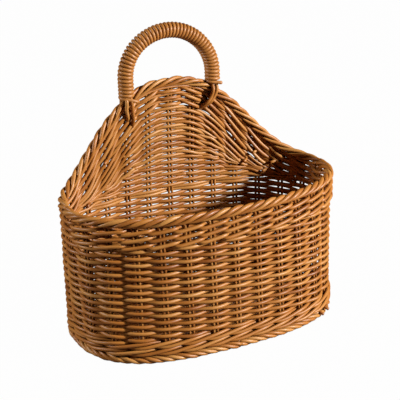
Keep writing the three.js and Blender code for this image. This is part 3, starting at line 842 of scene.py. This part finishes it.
def handle_core():
    """Rods inside the winding. They come down astride the border and tuck into the woven back."""
    strands = Strands()
    samples, foot_samples = 70, 24
    # Where the rods lie: beside the handle's middle line, astride the border, and on the wall below it
    half = (CORE_ROD + CORE_GAP) / 2
    astride = BORDER_RADIUS + SEAT + CORE_ROD / 2
    lie = 3.9 + CORE_ROD / 2
    # A foot's points from the top down: above the border's height, and in front of or behind its middle
    fall = np.array([6.0, 1.5, -6.0, -12.0, -17.5])
    stand = np.array([0.62 * astride, 0.97 * astride, lie, lie - 0.4, lie - 4.2])
    # By leg and by inner or outer rod: how deep the foot goes, and its points' distances to the right
    feet = {(-1, -1): (1.35, (0, 0.5, 1.6, 2.3, 2.6)),
            (-1, 1): (1.0, (0, -0.3, -0.4, 0.6, 2.2)),
            (1, -1): (0.86, (0, -0.2, -2.2, -6.0, -10.5)),
            (1, 1): (0.86, (0, -0.4, -3.0, -7.0, -11.5))}

    def foot(leg, across, sign):
        depth, drift = feet[leg, across]
        knots = np.stack([leg * (HANDLE_HALF_SPAN + across * half) + np.array(drift),
                          HANDLE_PLANE + sign * stand,
                          HANDLE_BORDER + np.where(fall < 0, fall * depth, fall)], axis=1)
        return spline(knots[::-1], foot_samples)

    centre, away = handle_line(np.linspace(0, HANDLE_LENGTH, samples))
    for across in (-1, 1):
        for sign in (-1, 1):
            line = centre + away * across * half + np.array([0, sign * half, 0])
            line = np.vstack([foot(-1, across, sign), line, foot(1, across, sign)[::-1]])
            strands.add(line, (0, sign, 0), 0.9 * CORE_ROD / 2)
    nodes = [f"handle_rod_{k}" for k in range(1, 5)]
    strands.build("handle_core", "stake_strand", STAKE_CANE, *nodes)


# Setting

def floor():
    """A dull sheet that gives little light back to the basket, though the camera sees it almost white."""
    half = 4.0
    white_share = 0.985
    corners = [(-half, -half, 0), (half, -half, 0), (half, half, 0), (-half, half, 0)]
    mesh = bpy.data.meshes.new("floor")
    mesh.from_pydata(corners, [], [(0, 1, 2, 3)])

    material = bpy.data.materials.new("floor_paper")
    material.use_nodes = True
    nodes, links = material.node_tree.nodes, material.node_tree.links
    shader = nodes["Principled BSDF"]
    shader.inputs["Base Color"].default_value = (0.24, 0.2, 0.16, 1)
    shader.inputs["Roughness"].default_value = 0.9
    shader.inputs["Specular IOR Level"].default_value = 0.0
    glow = nodes.new("ShaderNodeEmission")
    glow.inputs["Strength"].default_value = 1.0
    ray = nodes.new("ShaderNodeLightPath")
    share = nodes.new("ShaderNodeMath")
    share.operation = "MULTIPLY"
    share.inputs[1].default_value = white_share
    seen = nodes.new("ShaderNodeMixShader")
    links.new(ray.outputs["Is Camera Ray"], share.inputs[0])
    links.new(share.outputs[0], seen.inputs["Fac"])
    links.new(shader.outputs[0], seen.inputs[1])
    links.new(glow.outputs[0], seen.inputs[2])
    links.new(seen.outputs[0], nodes["Material Output"].inputs["Surface"])

    mesh.materials.append(material)
    plane = bpy.data.objects.new("floor", mesh)
    bpy.context.scene.collection.objects.link(plane)


def world():
    """The surroundings: white to the camera, and nearly dark to everything else."""
    ambient = 0.008
    studio = bpy.data.worlds.new("studio")
    bpy.context.scene.world = studio
    studio.use_nodes = True
    nodes, links = studio.node_tree.nodes, studio.node_tree.links
    background = nodes["Background"]
    background.inputs["Color"].default_value = (1, 1, 1, 1)
    ray = nodes.new("ShaderNodeLightPath")
    strength = nodes.new("ShaderNodeMapRange")
    strength.inputs["To Min"].default_value = ambient
    strength.inputs["To Max"].default_value = 1.0
    links.new(ray.outputs["Is Camera Ray"], strength.inputs["Value"])
    links.new(strength.outputs["Result"], background.inputs["Strength"])


def lamp(name, direction, distance, size, power):
    """A round lamp that shines on the middle of the basket, in metres and watts."""
    data = bpy.data.lights.new(name, "AREA")
    data.shape = "DISK"
    data.size = size
    data.energy = power
    light = bpy.data.objects.new(name, data)
    aim = Vector((0, 0, 0.11))
    light.location = aim + Vector(direction).normalized() * distance
    light.rotation_mode = "QUATERNION"
    light.rotation_quaternion = (aim - light.location).to_track_quat("-Z", "Y")
    bpy.context.scene.collection.objects.link(light)


def camera():
    """The photograph's camera, fitted to the basket's rim, foot and handle."""
    azimuth, elevation = math.radians(-27.864), math.radians(21.384)
    distance, target_height = 1.09736, 0.130
    # The focal length, the photograph's side and its optical centre, in pixels
    focal_pixels, image_pixels = 1192.96, 400
    centre_x, centre_y = 199.06, 185.75
    sensor = 36
    back = Vector((math.sin(azimuth) * math.cos(elevation), -math.cos(azimuth) * math.cos(elevation),
                   math.sin(elevation)))
    target = Vector((0, BACKWARD_SHIFT * METRE, target_height))
    data = bpy.data.cameras.new("camera")
    data.sensor_width = sensor
    data.lens = sensor * focal_pixels / image_pixels
    data.shift_x = (image_pixels / 2 - centre_x) / image_pixels
    data.shift_y = (centre_y - image_pixels / 2) / image_pixels
    data.clip_start, data.clip_end = 0.05, 20
    right = Vector((math.cos(azimuth), math.sin(azimuth), 0))
    turned = Matrix((right, back.cross(right), back)).transposed().to_4x4()
    view = bpy.data.objects.new("camera", data)
    view.matrix_world = Matrix.Translation(target + back * distance) @ turned
    bpy.context.scene.collection.objects.link(view)
    bpy.context.scene.camera = view


body_weave()
stakes()
foot_wale()
rim_twine()
back_panel()
foot_rope()
rim_ropes()
base_weave()
handle_wrap()
handle_core()
floor()
world()
lamp("key", direction=(0.675, -0.625, 0.39), distance=2.5, size=0.3, power=115)
lamp("left_fill", direction=(-0.9, 0.3, 0.42), distance=1.5, size=0.3, power=15)
camera()
bpy.context.scene.view_settings.view_transform = "Standard"
